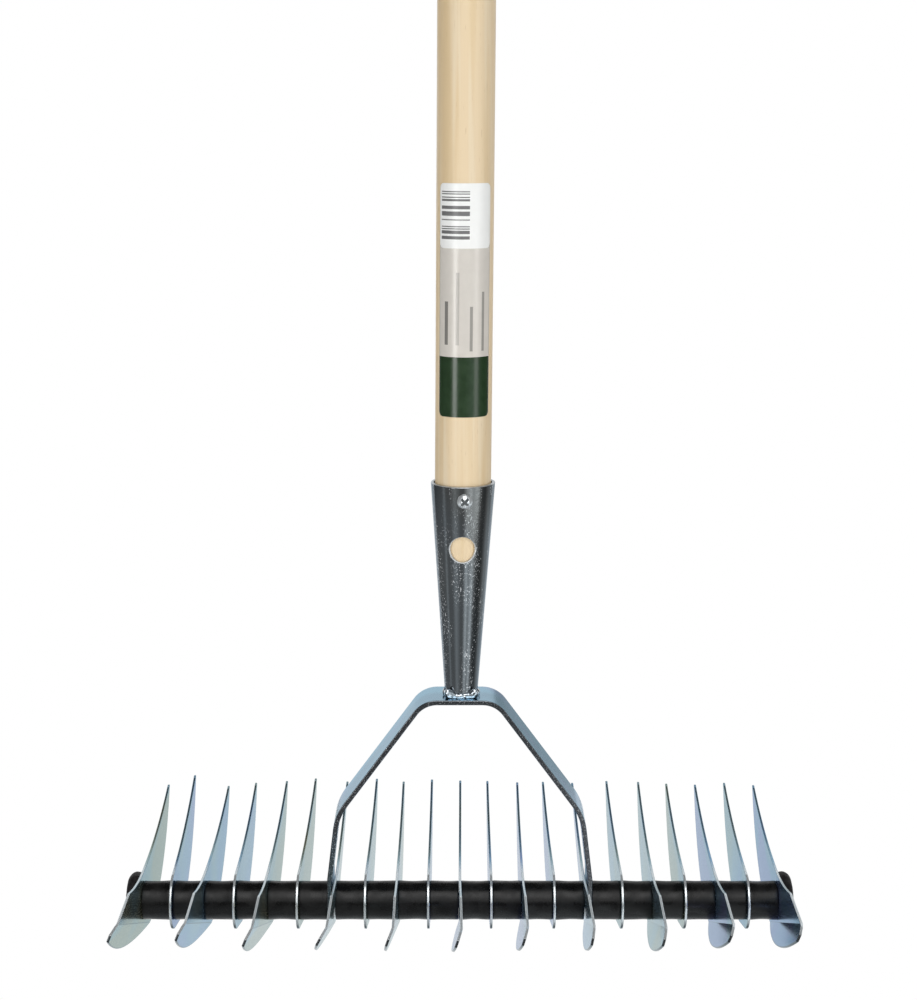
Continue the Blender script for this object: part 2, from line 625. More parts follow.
# Cone of sheet metal round the Z axis with radius r(h), open along the back seam
def makeSocket():
    cut = socketSheet
    windowAt = socketLength - cut["windowDrop"]
    screwAt = socketLength - cut["screwDrop"]
    levels = [0, windowAt - cut["windowBlock"], windowAt + cut["windowBlock"], screwAt - cut["screwBlock"],
              screwAt + cut["screwBlock"], socketLength]
    counts = [cut[part + "Cells"] for part in ("foot", "front", "neck", "screw", "rim")]
    spans = [np.linspace(low, high, count + 1)[:-1] for low, high, count in zip(levels, levels[1:], counts)]
    heights = np.concatenate([*spans, [socketLength]])
    front = np.linspace(-cut["frontAngle"], cut["frontAngle"], cut["frontCells"] + 1)
    side = np.linspace(0, 1, cut["sideCells"] + 1)[1:]
    seamAngle = np.pi - np.arcsin(cut["seam"] / 2 / socketRadius(heights))
    right = cut["frontAngle"] + side[None, :] * (seamAngle - cut["frontAngle"])[:, None]
    angles = np.concatenate([-right[:, ::-1], np.broadcast_to(front, (len(heights), len(front))), right], 1)
    columns = angles.shape[1]
    sheet = joinAxes(angles, heights[:, None]).reshape(-1, 2)
    cells = gridCells(len(heights), columns)
    centre = cut["sideCells"] + cut["frontCells"] // 2
    kept = np.ones(len(cells), bool)
    patches = []
    for place, middle, radius in ((1, windowAt, cut["windowRadius"]), (3, screwAt, cut["screwRadius"])):
        count = counts[place]
        sheet, inBlock, patch = cutHole(sheet, len(cells), columns, sum(counts[:place]), centre - count // 2,
                                        count, middle, radius)
        kept &= ~inBlock
        patches.append(patch)
    points = roundZ(socketRadius(sheet[:, 1]), sheet[:, 0], stripTop + sheet[:, 1])
    piece = addPiece("socketCone", bow(points), np.concatenate([cells[kept], *patches]), makeSocketZinc(),
                     "bright_zinc", "socket", solid=False)
    makeSheet(piece, cut["wall"], cut["edgeRound"])


makeSocket()
print("socket rolled")

# Socket screw

screwTurn = {"radius": 2 * mm, "length": 20 * mm, "headRadius": 3.75 * mm, "headHeight": 2.6 * mm,
             "domeShare": 1.15, "slotHalfWidth": 0.55 * mm, "slotHalfLength": 2.35 * mm,
             "slotDepth": 1.4 * mm, "wallSlope": 0.25 * mm, "sides": 96, "domeRows": 36, "aside": 0.9 * mm}


# Profile turned about the screw's own axis; the dome is lowered inside a cross whose two arms are bands
# with sloping walls
def makeScrew():
    cut = screwTurn
    taper = math.atan(socketSlope)
    seatHeight = socketLength - socketSheet["screwDrop"]
    seat = np.array([0, -socketRadius(seatHeight), stripTop + seatHeight])
    sideways = np.array([1.0, 0, 0])
    outward = np.array([0, -math.cos(taper), -math.sin(taper)])
    upward = np.array([0, -math.sin(taper), math.cos(taper)])
    domeRadius = cut["headRadius"] * cut["domeShare"]
    domeAngle = np.linspace(math.asin(1 / cut["domeShare"]), 0, cut["domeRows"])
    dome = joinAxes(domeRadius * np.sin(domeAngle), cut["headHeight"] - domeRadius * (1 - np.cos(domeAngle)))
    shank = [[0, -cut["length"]], [cut["radius"], -cut["length"] + 2 * cut["radius"]], [cut["radius"], 0],
             [cut["headRadius"], 0]]
    profile = np.concatenate([shank, dome])
    turn = fullTurn(cut["sides"])
    first = profile[:, :1] * np.cos(turn)
    second = profile[:, :1] * np.sin(turn)

    def band(distance, half):
        return np.clip((half - np.abs(distance)) / cut["wallSlope"] + 0.5, 0, 1)

    cross = np.maximum(band(first, cut["slotHalfWidth"]) * band(second, cut["slotHalfLength"]),
                       band(second, cut["slotHalfWidth"]) * band(first, cut["slotHalfLength"]))
    onDome = (np.arange(len(profile)) >= len(shank))[:, None]
    height = np.broadcast_to(profile[:, 1:], first.shape)
    bottom = cut["headHeight"] - cut["slotDepth"]
    height = np.where(onDome, height - cross * np.maximum(height - bottom, 0), height)
    right, up = (first - second) * math.sqrt(0.5), (first + second) * math.sqrt(0.5)
    points = seat + right[..., None] * sideways + up[..., None] * upward + height[..., None] * outward
    cells = gridCells(len(profile), cut["sides"], closeColumns=True)
    addPiece("panScrew", bow(points) + [cut["aside"], 0, 0], cells, screwZinc, "bright_zinc", "socket_screw",
             sharpAngle=30, values={"recess": cross * onDome})


makeScrew()
print("screw turned")

# Weld

weldBead = {"width": 2.1 * mm, "height": 3.3 * mm, "lumpAngle": math.radians(40),
            "lumpSpread": math.radians(15), "swell": 0.55, "lump": 1.2, "ripples": 9, "ripple": 0.08,
            "fineRipple": 0.6, "phases": (1.3, 0.4), "evenHeight": 0.35, "gap": 0.1 * mm, "lift": 0.02 * mm,
            "sides": 160, "section": 28}


# Bead round the foot: an oval section whose width and height swell at two lumps in front and ripple round the
# rest
def makeWeldBead():
    cut = weldBead
    angle = np.linspace(-np.pi, np.pi, cut["sides"], endpoint=False)[:, None]
    around = fullTurn(cut["section"])[None, :]
    lump = np.exp(-((np.abs(angle) - cut["lumpAngle"]) / cut["lumpSpread"]) ** 2)
    ripple = np.sin(cut["ripples"] * angle + cut["phases"][0])
    ripple = ripple + cut["fineRipple"] * np.sin(2 * cut["ripples"] * angle + cut["phases"][1] + 2 * around)
    swell = cut["swell"] + cut["lump"] * lump + cut["ripple"] * ripple
    width = cut["width"] * swell
    height = cut["height"] * (cut["evenHeight"] + (1 - cut["evenHeight"]) * swell)
    radius = socketSheet["footRadius"] + cut["gap"] + width * (0.5 + 0.5 * np.cos(around))
    rise = height * (0.5 + 0.5 * np.sin(around)) + cut["lift"]
    points = roundZ(radius, angle, stripTop + rise)
    cells = gridCells(cut["sides"], cut["section"], closeRows=True, closeColumns=True)
    addPiece("weldBead", bow(points), cells, weldMetal, "weld_metal", "socket_weld", sharpAngle=70)


makeWeldBead()
print("weld laid")

# Yoke

yokeStrip = {"wall": 2.5 * mm, "shoulder": 51 * mm, "lean": math.radians(7), "topWidth": 38 * mm,
             "topBend": 15 * mm, "shoulderBend": 30 * mm, "legEnd": 14 * mm, "ankleRoom": 1 * mm,
             "edgeRound": 0.45 * mm, "columns": 15, "arcSteps": 14, "flatSteps": 10, "sideSteps": 12,
             "endSteps": 24, "rings": 4, "wallLevels": 12, "leastWall": 0.1, "touch": 0.01 * mm}
ankleZ = eyeRadius + yokeStrip["ankleRoom"]


# Point at one depth inside both of the lines that meet in a corner
def within(corner, normalA, normalB, depth):
    return corner - depth * (normalA + normalB) / (1 + normalA @ normalB)


# Directions in X and Z at angles from the vertical
def fromVertical(angle):
    return joinAxes(np.sin(angle), np.cos(angle))


# Points in even steps on a straight line
def straight(first, last, steps):
    return first + (last - first) * np.linspace(0, 1, steps)[:, None]


# Outer face of the strip as a path in X and Z, from the middle of the top over the bends to the right ankle
def yokeHalfPath():
    cut = yokeStrip
    rise = yokeHigh.z - barZ
    topCorner = np.array([cut["topWidth"] / 2, rise])
    ankle = np.array([yokeHigh.x, ankleZ])
    shoulder = np.array([ankle[0] - (cut["shoulder"] - ankle[1]) * math.tan(cut["lean"]), cut["shoulder"]])
    slant = math.atan2(rise - cut["shoulder"], shoulder[0] - topCorner[0])
    shin = math.pi / 2 - cut["lean"]
    topCentre = within(topCorner, fromVertical(0), fromVertical(slant), cut["topBend"])
    sideCentre = within(shoulder, fromVertical(slant), fromVertical(shin), cut["shoulderBend"])
    topArc = topCentre + cut["topBend"] * fromVertical(np.linspace(0, slant, cut["arcSteps"]))
    sideArc = sideCentre + cut["shoulderBend"] * fromVertical(np.linspace(slant, shin, cut["arcSteps"]))
    top = straight(np.array([0, rise]), topArc[0], cut["flatSteps"])
    flank = straight(topArc[-1], sideArc[0], cut["flatSteps"])
    leg = straight(sideArc[-1], ankle, cut["flatSteps"])
    return np.concatenate([top[:-1], topArc, flank[1:-1], sideArc, leg[1:]])


# The path carried across the strip's width; each leg ends in a patch of rays from the rod hole to its border,
# which is the last row of the strip, the two sides and an arc about the rod
def makeYoke():
    cut = yokeStrip
    half = yokeHigh.y
    right = yokeHalfPath()
    path = np.concatenate([right[::-1] * [-1, 1], right[1:]])
    across = np.linspace(-half, half, cut["columns"])
    strip = joinAxes(path[:, None, 0], across[None, :], path[:, None, 1] + barZ).reshape(-1, 3)
    cells = gridCells(len(path), cut["columns"])[:, ::-1]
    sideFoot = -math.sqrt(cut["legEnd"] ** 2 - half ** 2)
    sideZ = np.linspace(ankleZ, sideFoot, cut["sideSteps"])[1:]
    arcEnd = math.atan2(sideFoot, half)
    arc = np.linspace(arcEnd, -np.pi - arcEnd, cut["endSteps"])[1:]
    loop = np.concatenate([joinAxes(across, ankleZ), joinAxes(half, sideZ), cut["legEnd"] * circle(arc),
                           joinAxes(-half, sideZ)[-2::-1]])
    reach = np.linalg.norm(loop, axis=1, keepdims=True)
    share = np.linspace(0, 1, cut["rings"])[:, None, None]
    patch = loop * (1 + (rodHole / reach - 1) * share)
    patchCells = gridCells(cut["rings"], len(loop), closeColumns=True)
    legs = [joinAxes(side * yokeHigh.x, patch[..., 0], patch[..., 1] + barZ).reshape(-1, 3)
            for side in (1, -1)]
    points = np.concatenate([strip, *legs])
    start = len(strip)
    allCells = np.concatenate([cells, patchCells[:, ::-1] + start, patchCells + start + len(legs[0])])
    piece = addPiece("yokeStrip", points, allCells, stripZinc, "zinc_strip", "yoke", solid=False)
    makeSheet(piece, cut["wall"], cut["edgeRound"])
    thinLeftLeg(piece)


# The left leg's wall gets thinner beside the bent tooth that leans on it, in even levels of weight
def thinLeftLeg(piece):
    levels, touch = yokeStrip["wallLevels"], yokeStrip["touch"]
    flat = np.zeros(len(piece.data.vertices) * 3, np.float32)
    piece.data.vertices.foreach_get("co", flat)
    points = flat.reshape(-1, 3)
    onLeg = (points[:, 0] < yokeLow.x + touch) & (points[:, 2] < barZ + ankleZ - touch)
    share = 1 - np.where(onLeg, toothRoom(points), 0) / yokeStrip["wall"]
    level = np.rint(np.clip(share, yokeStrip["leastWall"], 1) * levels).astype(int)
    group = piece.vertex_groups.new(name="wall")
    for number in range(1, levels + 1):
        group.add(np.flatnonzero(level == number).tolist(), number / levels, "REPLACE")
    piece.modifiers["wall"].vertex_group = "wall"


# Tines

tineCut = {"bellyBack": 18 * mm, "browReach": 40 * mm, "browRise": 5.2 * mm, "noseReach": 76 * mm,
           "noseRise": 17.2 * mm, "toothReach": 86 * mm, "toothEnd": 83.4 * mm, "toothRise": 14 * mm,
           "creaseReach": 73.5 * mm, "creaseRoom": 1.4 * mm, "toothBend": math.radians(22),
           "roomBend": math.radians(24), "bendRadius": 1.5 * mm, "edgeRound": 0.25 * mm,
           "seatClear": 0.1 * mm, "burr": 0.5 * mm, "burrShare": 0.2, "sickleDark": (2.5, 0.8),
           "toothDark": (2, 0), "bluntDark": (2.5, 0.6), "innerDark": 0.8, "innerBright": 0.3,
           "creaseShade": 0.85, "keelTint": 0.8, "spineTint": 0.6, "leastOpening": 0.2, "leastFacing": 0.05,
           "ringStep": 0.003, "steps": 36, "chinSteps": 10, "browSteps": 20, "noseSteps": 6, "bluntSteps": 8}
# Wear of each tine from left to right: degrees that the sickle's tip is raised, millimetres that the tip and
# the tooth are pushed aside, degrees of the tooth's bend and the upper edge's lean, and the tint from 0 to 1
toothWear = [(-0.7, 0.3, -0.5, 22, 0, 0.18), (-1.2, 1.7, -0.4, 22, 0, 0.62), (0.7, 2.3, -0.6, 22.5, 0, 0.15),
             (0.5, -0.5, -0.7, 26, 4, 0.4), (0.5, 0.8, 0.15, 20.5, 0, 0.3), (0.9, 0.3, 0.8, 19, 0, 0.85),
             (0.2, 0, 0.3, 18, 0, 0.9), (0, 0.6, 1.2, 15.5, -4, 0.7), (0.35, 0.85, -0.3, 16, 0, 0.35),
             (-0.7, 0.6, -0.15, 23.5, 0, 0.95), (-0.9, 1.1, 0.15, 23.5, 0, 0.75)]
# The plain sickles have no tooth: raised, pushed aside, tint
sickleWear = [(raised, aside, 0, 0, 0, tint) for raised, aside, tint in (
    (3, -0.6, 0.78), (0, 1.1, 0.55), (1.7, 2.5, 0.08), (1.6, 2, 0.3), (1.3, 0.6, 0.85), (0.7, -0.6, 0.85),
    (0.4, -1.7, 0.9), (0.7, -0.8, 0.35), (-0.3, 0.6, 0.2), (0, 0.8, 0.5))]
tipReach = sickleHigh.y
tipRise = sickleHigh.z - barZ
bellyZ = sickleLow.z - barZ
browZ = eyeRadius + tineCut["browRise"]
tineThickness = sickleHigh.x - sickleLow.x


# Radius of a circle that touches a level line at one point and passes a second point
def arcRadius(run, rise):
    return (run * run + rise * rise) / (2 * rise)


# Points of a circle that stands on the point (y, z): y + R sin a, z + R - R cos a
def standingArc(foot, radius, fromReach, toReach, steps):
    angle = np.linspace(math.asin(fromReach / radius), math.asin(toReach / radius), steps)
    return joinAxes(foot[0] + radius * np.sin(angle), foot[1] + radius * (1 - np.cos(angle)))


# Upper and lower edges of a sickle in Y and Z, with the rod at zero
def sickleEdges():
    steps = tineCut["steps"]
    belly = np.array([tineCut["bellyBack"], bellyZ])
    bellyRun = tipReach - tineCut["bellyBack"]
    spine = standingArc((0, eyeRadius), arcRadius(tipReach, tipRise - eyeRadius), tipReach, 0, steps)
    keel = standingArc(belly, arcRadius(bellyRun, tipRise - bellyZ), 0, bellyRun, steps)
    return spine, belly, keel


# Outline with a round eye in front: the spine, the eye, a straight chin and the belly's arc to the tip
def sickleOutline():
    spine, belly, keel = sickleEdges()
    chin = math.atan2(belly[1], belly[0]) - math.acos(eyeRadius / np.hypot(*belly)) + 2 * np.pi
    eye = eyeRadius * circle(np.linspace(np.pi / 2, chin, 2 * tineCut["steps"]))
    return np.concatenate([spine, eye[1:], straight(eye[-1], belly, tineCut["chinSteps"])[1:], keel[1:-1]])


# Outline with a tooth in front: spine, brow arc, straight brow and nose, blunt end about the rod, keel and
# belly; the blunt end's circle meets the nose's line and the keel's circle
def twoEndedOutline():
    cut = tineCut
    spine, belly, keel = sickleEdges()
    browRadius = arcRadius(cut["browReach"], cut["browRise"])
    brow = standingArc((0, eyeRadius), browRadius, 0, -cut["browReach"], cut["steps"])
    browEnd = np.array([-cut["browReach"], browZ])
    nose = np.array([-cut["noseReach"], cut["noseRise"]])
    slope = (cut["noseRise"] - cut["toothRise"]) / (cut["toothReach"] - cut["noseReach"])
    level = cut["noseRise"] + slope * cut["noseReach"]
    square = 1 + slope * slope
    root = math.sqrt((slope * level) ** 2 - square * (level ** 2 - cut["toothEnd"] ** 2))
    endY = (-slope * level - root) / square
    noseEnd = np.array([endY, level + slope * endY])
    keelRadius = arcRadius(cut["toothReach"] + cut["bellyBack"], cut["toothRise"] - bellyZ)
    centre = belly + [0, keelRadius]
    far = np.hypot(*centre)
    along = (cut["toothEnd"] ** 2 - keelRadius ** 2 + far ** 2) / (2 * far)
    aside = math.sqrt(cut["toothEnd"] ** 2 - along ** 2)
    keelEnd = (along * centre + aside * np.array([-centre[1], centre[0]])) / far
    fromNose, toKeel = math.atan2(noseEnd[1], noseEnd[0]), math.atan2(keelEnd[1], keelEnd[0])
    blunt = cut["toothEnd"] * circle(np.linspace(fromNose, toKeel, cut["bluntSteps"]))
    front = standingArc(belly, keelRadius, keelEnd[0] - belly[0], 0, 2 * cut["steps"])
    upper = [brow[1:], straight(browEnd, nose, cut["browSteps"])[1:],
             straight(nose, noseEnd, cut["noseSteps"])[1:]]
    return np.concatenate([spine, *upper, blunt[1:], front[1:], keel[1:-1]])


# Directions into the plate at the corners of an outline: the mean of the two edges' normals
def inwardNormals(loop):
    edge = np.roll(loop, -1, 0) - loop
    normal = joinAxes(-edge[:, 1], edge[:, 0]) / np.linalg.norm(edge, axis=1, keepdims=True)
    mean = normal + np.roll(normal, 1, 0)
    mean /= np.linalg.norm(mean, axis=1, keepdims=True)
    return mean, np.maximum((mean * normal).sum(1, keepdims=True), tineCut["leastOpening"])


# The outline moved inwards: each corner goes along its mean normal, further where it is sharp
def inset(loop, depth):
    mean, opening = inwardNormals(loop)
    return loop + mean * depth / opening


# Direction square to the crease, pointing below it, and the crease's distance from the rod
def creaseLine():
    cut = tineCut
    slope = (browZ - cut["noseRise"]) / (cut["noseReach"] - cut["browReach"])
    start = np.array([-cut["creaseReach"], browZ - slope * (cut["creaseReach"] - cut["browReach"])])
    distance = sleeveHigh.y + cut["creaseRoom"]
    angle = math.atan2(-start[1], -start[0]) - math.asin(distance / np.hypot(*start))
    return np.array([math.sin(angle), -math.cos(angle)]), distance


# How far the left face of a bent tooth stands out beyond the flat plate's left face, at points beside it
def toothRoom(points):
    below, distance = creaseLine()
    depth = points[..., 1] * below[0] + (points[..., 2] - barZ) * below[1] - distance
    bend, half = tineCut["roomBend"], tineThickness / 2
    lean = (half + tineCut["seatClear"] + depth * math.sin(bend)) / math.cos(bend)
    return np.maximum(lean - half, 0)


# Points below the crease turn sideways on a small arc about a line beside it: with w the distance below
# the start of the bend and R the bend's radius, the turn is w / R up to the full angle, and straight after it
def foldTooth(points, bend):
    below, distance = creaseLine()
    radius = tineCut["bendRadius"]
    depth = points[..., 1] * below[0] + points[..., 2] * below[1] - distance + radius * bend / 2
    turn = np.clip(depth / radius, 0, bend)
    rest = depth - radius * turn
    reach = radius + points[..., 0]
    sideways = reach * np.cos(turn) - radius - rest * np.sin(turn)
    moved = reach * np.sin(turn) + rest * np.cos(turn) - depth
    return joinAxes(sideways, points[..., 1] + moved * below[0], points[..., 2] + moved * below[1])


# A plate is a closed grid: rings run from the rod hole over the front face to the rounded edge and back
# over the rear face; a tooth has three more rings along its crease. The cut edges below, the blunt end and
# the crease are dark and fade over the burr's width; the edges from the rod to the front are bright; the tint
# goes away from the middle tone towards the lower edges, and back to it towards the upper ones
def tinePlate(loop, creased):
    cut = tineCut
    edgeRound = cut["edgeRound"]
    half = tineThickness / 2
    inner = inset(loop, edgeRound)
    rim = inset(loop, edgeRound * (1 - math.sqrt(0.5)))
    reach = np.linalg.norm(inner, axis=1, keepdims=True)
    ray = inner / reach
    mean, _ = inwardNormals(loop)
    square = np.maximum(np.abs((ray * mean).sum(1, keepdims=True)), cut["leastOpening"])
    seam = reach * (1 - np.minimum(cut["burr"] / (reach * square), cut["burrShare"]))
    steep, start = cut["toothDark" if creased else "sickleDark"]
    dark = np.clip(steep * mean[:, 1] - start, 0, 1)
    if creased:
        steep, start = cut["bluntDark"]
        dark = np.clip(dark + steep * np.maximum(mean[:, 0] - start, 0), 0, 1)
    side = np.clip(2 * mean[:, 1], -1, 1)
    side *= np.where(side > 0, cut["keelTint"], cut["spineTint"])
    bright = np.clip(1 - loop[:, 0] / cut["bellyBack"], 0, 1)
    plain = np.zeros(len(loop))
    lip = half - edgeRound * (1 - math.sqrt(0.5))
    # Each row of the section: its ring, its place across the plate, its darkness and its brightness
    front = [(ray * rodHole, half, plain, plain)]
    if creased:
        below, distance = creaseLine()
        facing = (ray @ below)[:, None]
        towards = facing > cut["leastFacing"]
        bendHalf = cut["toothBend"] * cut["bendRadius"] / 2
        for number, offset in enumerate((-bendHalf, 0, bendHalf)):
            crease = np.where(towards, (distance + offset) / np.maximum(facing, cut["leastFacing"]), 1)
            limit = seam * (1 - cut["ringStep"] * (3 - number))
            shade = np.where(towards & (crease < limit), cut["creaseShade"], 0)[:, 0]
            front.append((ray * np.minimum(crease, limit), half, shade if offset == 0 else plain, plain))
    front += [(ray * seam, half, plain, plain),
              (inner, half, cut["innerDark"] * dark, cut["innerBright"] * bright),
              (rim, lip, dark, bright), (loop, half - edgeRound, dark, bright)]
    section = front + [(ring, -depth, *values) for ring, depth, *values in front[::-1]]
    points = np.stack([joinAxes(row[1], row[0][:, 0], row[0][:, 1]) for row in section])
    cells = gridCells(len(section), len(loop), closeRows=True, closeColumns=True)
    across = side * np.minimum(np.linalg.norm(points[..., 1:], axis=-1) / reach[:, 0], 1)
    return points, cells, across, {"cutEdge": np.stack([row[2] for row in section]),
                                   "rim": np.stack([row[3] for row in section])}


# Wear of a plate: the tip and the tooth are pushed aside by their share of the reach, the upper edge leans by
# its height, and the whole plate is turned about the rod
def wearPlate(points, raised, tipAside, toothAside, lean):
    along = points[..., 1]
    aside = np.where(along > 0, tipAside * along / tipReach, -toothAside * along / tineCut["creaseReach"])
    sideways = points[..., 0] + aside * mm + math.tan(math.radians(lean)) * points[..., 2]
    turnCos, turnSin = math.cos(math.radians(raised)), math.sin(math.radians(raised))
    return joinAxes(sideways, along * turnCos - points[..., 2] * turnSin,
                    along * turnSin + points[..., 2] * turnCos)


def makeTines():
    for kind, title, outline, creased, wears in (
            ("sickle_tine", "sickleTine", sickleOutline(), False, sickleWear),
            ("two_ended_tine", "toothTine", twoEndedOutline(), True, toothWear)):
        plate, cells, across, shades = tinePlate(outline, creased)
        for number, (raised, tipAside, toothAside, bend, lean, tint) in enumerate(wears, 1):
            node = f"{kind}_{number:02d}"
            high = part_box(node)[1]
            shape = foldTooth(plate, math.radians(bend)) if creased else plate
            points = wearPlate(shape, raised, tipAside, toothAside, lean)
            points = points + [high.x - tineThickness / 2, 0, barZ]
            values = {"tint": tint + (tint - 0.5) * across, **shades}
            piece = addPiece(f"{title}{number:02d}", points, cells, tineZinc, "zinc_tine", node,
                             sharpAngle=50, values=values)
            piece.modifiers.new("flatFaces", "WEIGHTED_NORMAL").weight = 60


makeTines()
makeYoke()
print("tines cut and folded, yoke bent")

# Sleeves

sleeveTube = {"waist": 0.2 * mm, "land": 1.5 * mm, "lip": 0.5 * mm, "wave": 0.09 * mm, "boreLimit": 1.2,
              "sides": 80, "rows": 22, "lipRows": 6, "count": 20, "seed": 11}


# Tube about X: outside radius r(x) drawn in at the middle as a circle's arc, with rounded lips, a bore, and
# low waves of its own: w sin(2a + p) sin(kx + q) and two smaller ones
def makeSleeves():
    cut = sleeveTube
    chance = np.random.default_rng(cut["seed"])
    angle = fullTurn(cut["sides"])[None, :]
    lipTurn = np.linspace(0, np.pi / 2, cut["lipRows"])[::-1]
    for number in range(1, cut["count"] + 1):
        node = f"sleeve_{number:02d}"
        low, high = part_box(node)
        middle, half, radius = (low.x + high.x) / 2, (high.x - low.x) / 2, high.y
        waistRadius = arcRadius(half - cut["land"], cut["waist"])
        body = np.linspace(-half + cut["lip"], half - cut["lip"], cut["rows"])
        dip = np.sqrt(waistRadius ** 2 - body ** 2) - (waistRadius - cut["waist"])
        outside = radius - np.maximum(dip, 0)
        lipX = half - cut["lip"] * (1 - np.sin(lipTurn))
        lipR = outside[-1] - cut["lip"] * (1 - np.cos(lipTurn))
        along = np.concatenate([[-half], -lipX[:-1], body, lipX[::-1][1:], [half]])[:, None]
        across = np.concatenate([[rodHole], lipR[:-1], outside, lipR[::-1][1:], [rodHole]])[:, None]
        phase = chance.uniform(0, 2 * np.pi, 5)
        wave = (np.sin(2 * angle + phase[0]) * np.sin(2.2 * along / half + phase[1])
                + 0.6 * np.sin(3 * angle + phase[2]) + 0.5 * np.sin(5 * angle + phase[3])
                * np.sin(4 * along / half + phase[4]))
        swell = np.where(across > rodHole * cut["boreLimit"], across + cut["wave"] * wave, across)
        cells = gridCells(len(along), cut["sides"], closeRows=True, closeColumns=True)
        addPiece(f"spacerSleeve{number:02d}", roundRod(middle + along, swell, angle), cells, sleeveBlack,
                 "sleeve_plastic", node, sharpAngle=50)


makeSleeves()
print("sleeves threaded")

# End caps

endCap = {"round": 4 * mm, "lip": 0.4 * mm, "pocket": 7.7 * mm, "pocketDepth": 4.6 * mm, "rough": 0.25 * mm,
          "rimWaves": (3, 7, 12, 19), "sides": 96, "faceRows": 7, "roundRows": 10, "seed": 5}


# Cap about X: a flat inner face, a rounded edge with a slightly uneven rim, a crown and the nut's pocket
def makeEndCaps():
    cut = endCap
    chance = np.random.default_rng(cut["seed"])
    angle = fullTurn(cut["sides"])[None, :]
    turn = np.linspace(0, np.pi / 2, cut["roundRows"])
    for side, name, node in ((-1, "endCapLeft", "end_cap_left"), (1, "endCapRight", "end_cap_right")):
        low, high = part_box(node)
        inner, outer = (high.x, low.x) if side < 0 else (low.x, high.x)
        radius = high.y
        depth = abs(outer - inner)
        face = np.linspace(cut["pocket"], radius - cut["lip"], cut["faceRows"])
        edge = depth - cut["round"] * (1 - np.sin(turn))
        along = np.concatenate([[cut["pocketDepth"]] * 2, np.zeros_like(face), edge, [depth]])[:, None]
        crown = radius - cut["round"] * (1 - np.cos(turn))
        across = np.concatenate([[0, cut["pocket"]], face, crown, [0]])[:, None]
        phase = chance.uniform(0, 2 * np.pi, len(cut["rimWaves"]))
        uneven = sum(np.sin(waves * angle + phase[place]) / (place + 1)
                     for place, waves in enumerate(cut["rimWaves"]))
        rim = np.clip((across - cut["pocket"]) / (radius - cut["pocket"]), 0, 1)
        points = roundRod(inner + side * along, across + rim * cut["rough"] * (uneven - 1), angle)
        if side < 0:
            points[..., 0] = np.minimum(points[..., 0], inner - toothRoom(points))
        cells = gridCells(len(along), cut["sides"], closeColumns=True)
        addPiece(name, points, cells, capBlack, "cap_plastic", node, sharpAngle=50)


makeEndCaps()
print("end caps pressed on")

# CAD nodes that keep their own shape get the same finishes
for node, material in (("hanging_cap", capBlack), ("rod", stripZinc), ("rod_nuts", stripZinc)):
    for place in nodes[node].material_slots:
        place.material = material

# Studio

plainWhite = (1, 1, 1, 1)
studio = {"floorDrop": 0.3, "floorTone": (0.86, 0.86, 0.86, 1), "floorRings": (0, 0.5, 2, 14.0),
          "floorSides": 64, "shadowRadius": (0.2, 0.42), "shadowShare": 0.75, "ambient": 0.29}
floorZ = barZ - studio["floorDrop"]


# One where a camera, glossy or transmission ray looks, zero for the rays that light a surface
def seenDirectly(tree):
    path = tree.nodes.new("ShaderNodeLightPath").outputs
    seen = calc(tree, "MAXIMUM", path["Is Camera Ray"], path["Is Glossy Ray"])
    return calc(tree, "MAXIMUM", seen, path["Is Transmission Ray"])


def emptyTree(owner):
    owner.use_nodes = True
    owner.node_tree.nodes.clear()
    return owner.node_tree


# Two shaders mixed by a share and put out; gives the input of the share
def mixShaders(tree, outputKind, share, first, second):
    mix = addNode(tree, "ShaderNodeMixShader", Fac=share)
    tree.links.new(first.outputs[0], mix.inputs[1])
    tree.links.new(second.outputs[0], mix.inputs[2])
    addNode(tree, outputKind, Surface=mix.outputs[0])
    return mix.inputs[0]


# White to look at, and a low even light for the surfaces
def makeWorld():
    scene.world = bpy.data.worlds.new("studioWorld")
    tree = emptyTree(scene.world)
    white = addNode(tree, "ShaderNodeBackground", Color=plainWhite, Strength=1.0)
    ambient = addNode(tree, "ShaderNodeBackground", Color=plainWhite, Strength=studio["ambient"])
    mixShaders(tree, "ShaderNodeOutputWorld", seenDirectly(tree), ambient, white)


# Pale floor: it keeps a soft shadow under the rake and turns to plain white further out
def makeFloor():
    material = bpy.data.materials.new("paleFloor")
    tree = emptyTree(material)
    place = splitAxes(tree, objectPlace(tree))
    far = distanceOf(tree, place["X"], place["Y"])
    fade = spread(tree, far, *studio["shadowRadius"], studio["shadowShare"], 1.0)
    pale = addNode(tree, "ShaderNodeBsdfDiffuse", Color=studio["floorTone"])
    white = addNode(tree, "ShaderNodeEmission", Color=plainWhite, Strength=1.0)
    mixShaders(tree, "ShaderNodeOutputMaterial", times(tree, seenDirectly(tree), fade), pale, white)
    profile = joinAxes(np.array(studio["floorRings"]), floorZ)
    cells = gridCells(len(profile), studio["floorSides"], closeColumns=True)
    floor = addObject("studioFloor", turnAboutZ(profile, studio["floorSides"]), cells, material, solid=False)


# Things that only reflections see
def addReflected(name, points, cells, material):
    thing = addObject(name, points, cells, material, solid=False)
    thing.visible_camera = False
    thing.visible_diffuse = False
    thing.visible_transmission = False
    thing.visible_volume_scatter = False
    thing.visible_shadow = False


# A glowing cloth that may be part clear: its glow's inputs, the share that covers, and the place on it
def startGlow(name, **constants):
    material = bpy.data.materials.new(name)
    tree = emptyTree(material)
    glow = addNode(tree, "ShaderNodeEmission", **constants)
    clear = tree.nodes.new("ShaderNodeBsdfTransparent")
    cover = mixShaders(tree, "ShaderNodeOutputMaterial", 1.0, clear, glow)
    return material, tree, glow.inputs, cover, splitAxes(tree, objectPlace(tree))


